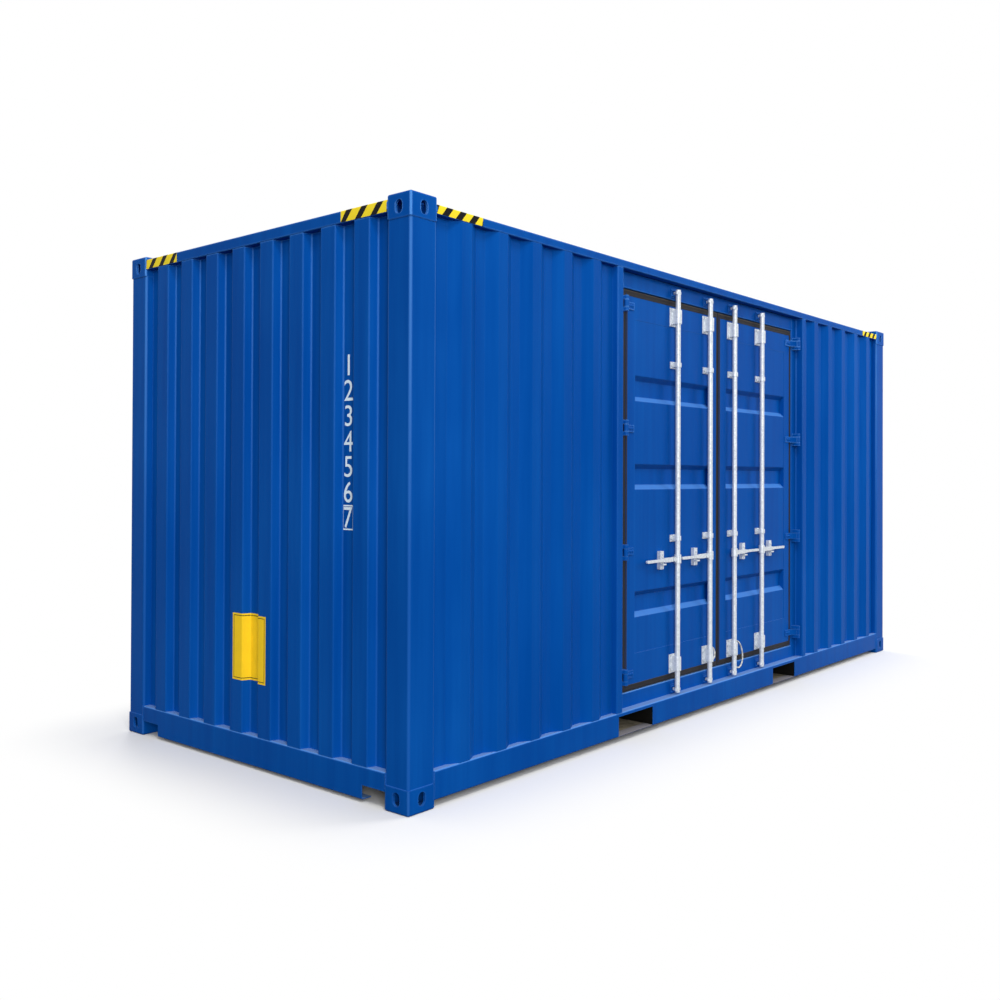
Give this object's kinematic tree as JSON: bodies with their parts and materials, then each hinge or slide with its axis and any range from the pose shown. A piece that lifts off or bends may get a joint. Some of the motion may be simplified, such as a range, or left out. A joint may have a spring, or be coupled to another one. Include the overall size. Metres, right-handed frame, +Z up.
{
  "type": "shipping container",
  "caption": "High-cube shipping container with corrugated steel walls, a lockable double door in one long side, a plywood floor and fork-lift pockets.",
  "frame": {"origin": "on the ground under the middle of the container", "axes": "+X along the length, the long side with the doors faces -Y, +Z up"},
  "size_m": [6.058, 2.438, 2.896],
  "materials": {
    "blue_paint": "gloss",
    "galvanised_steel": "satin",
    "gasket_rubber": "matte",
    "plywood": "satin",
    "rope": "matte"
  },
  "bodies": {
    "container": {"top_corner_castings": "blue_paint", "bottom_corner_castings": "blue_paint", "corner_posts": "blue_paint", "bottom_side_rail_front": "blue_paint", "bottom_side_rail_back": "blue_paint", "top_side_rail_front": "blue_paint", "top_side_rail_back": "blue_paint", "top_end_rail_left": "blue_paint", "top_end_rail_right": "blue_paint", "end_sill_left": "blue_paint", "end_sill_right": "blue_paint", "front_wall_left": "blue_paint", "front_wall_right": "blue_paint", "back_wall": "blue_paint", "end_wall_left": "blue_paint", "end_wall_right": "blue_paint", "roof": "blue_paint", "door_post_left": "blue_paint", "door_post_right": "blue_paint", "door_header": "blue_paint", "door_sill": "blue_paint", "cross_members": "blue_paint", "fork_pocket_left": "blue_paint", "fork_pocket_right": "blue_paint", "plywood_floor": "plywood", "hinge_lugs_left": "blue_paint", "hinge_lugs_right": "blue_paint", "cam_keepers": "blue_paint"},
    "left_door": {"left_leaf_frame": "blue_paint", "left_leaf_panel": "blue_paint", "left_leaf_gasket": "gasket_rubber", "left_hinge_blades": "blue_paint", "left_rod_bearings": "galvanised_steel", "left_handle_catches": "galvanised_steel", "left_tie_cord": "rope"},
    "left_inner_rod": {"left_inner_lock_rod": "galvanised_steel"},
    "left_inner_lever": {"left_inner_handle": "galvanised_steel"},
    "left_outer_rod": {"left_outer_lock_rod": "galvanised_steel"},
    "left_outer_lever": {"left_outer_handle": "galvanised_steel"},
    "right_door": {"right_leaf_frame": "blue_paint", "right_leaf_panel": "blue_paint", "right_leaf_gasket": "gasket_rubber", "right_hinge_blades": "blue_paint", "right_rod_bearings": "galvanised_steel", "right_handle_catches": "galvanised_steel", "right_tie_cord": "rope"},
    "right_inner_rod": {"right_inner_lock_rod": "galvanised_steel"},
    "right_inner_lever": {"right_inner_handle": "galvanised_steel"},
    "right_outer_rod": {"right_outer_lock_rod": "galvanised_steel"},
    "right_outer_lever": {"right_outer_handle": "galvanised_steel"}
  },
  "joints": [
    {"name": "left_door_swing", "type": "hinge", "parent": "container", "child": "left_door", "pos_m": [-1.197, -1.2, 1.49], "axis": [0, 0, -1], "range_deg": [0, 170]},
    {"name": "left_inner_rod_turn", "type": "hinge", "parent": "left_door", "child": "left_inner_rod", "pos_m": [-0.16, -1.194, 1.49], "axis": [0, 0, -1], "range_deg": [-90, 0]},
    {"name": "left_inner_handle_lift", "type": "hinge", "parent": "left_inner_rod", "child": "left_inner_lever", "pos_m": [-0.208, -1.194, 1.045], "axis": [0, -1, 0], "range_deg": [-25, 0]},
    {"name": "left_outer_rod_turn", "type": "hinge", "parent": "left_door", "child": "left_outer_rod", "pos_m": [-0.585, -1.194, 1.49], "axis": [0, 0, -1], "range_deg": [-90, 0]},
    {"name": "left_outer_handle_lift", "type": "hinge", "parent": "left_outer_rod", "child": "left_outer_lever", "pos_m": [-0.633, -1.194, 1.045], "axis": [0, -1, 0], "range_deg": [-25, 0]},
    {"name": "right_door_swing", "type": "hinge", "parent": "container", "child": "right_door", "pos_m": [1.227, -1.2, 1.49], "axis": [0, 0, 1], "range_deg": [0, 170]},
    {"name": "right_inner_rod_turn", "type": "hinge", "parent": "right_door", "child": "right_inner_rod", "pos_m": [0.19, -1.194, 1.49], "axis": [0, 0, 1], "range_deg": [-90, 0]},
    {"name": "right_inner_handle_lift", "type": "hinge", "parent": "right_inner_rod", "child": "right_inner_lever", "pos_m": [0.238, -1.194, 1.045], "axis": [0, 1, 0], "range_deg": [-25, 0]},
    {"name": "right_outer_rod_turn", "type": "hinge", "parent": "right_door", "child": "right_outer_rod", "pos_m": [0.615, -1.194, 1.49], "axis": [0, 0, 1], "range_deg": [-90, 0]},
    {"name": "right_outer_handle_lift", "type": "hinge", "parent": "right_outer_rod", "child": "right_outer_lever", "pos_m": [0.663, -1.194, 1.045], "axis": [0, 1, 0], "range_deg": [-25, 0]}
  ]
}
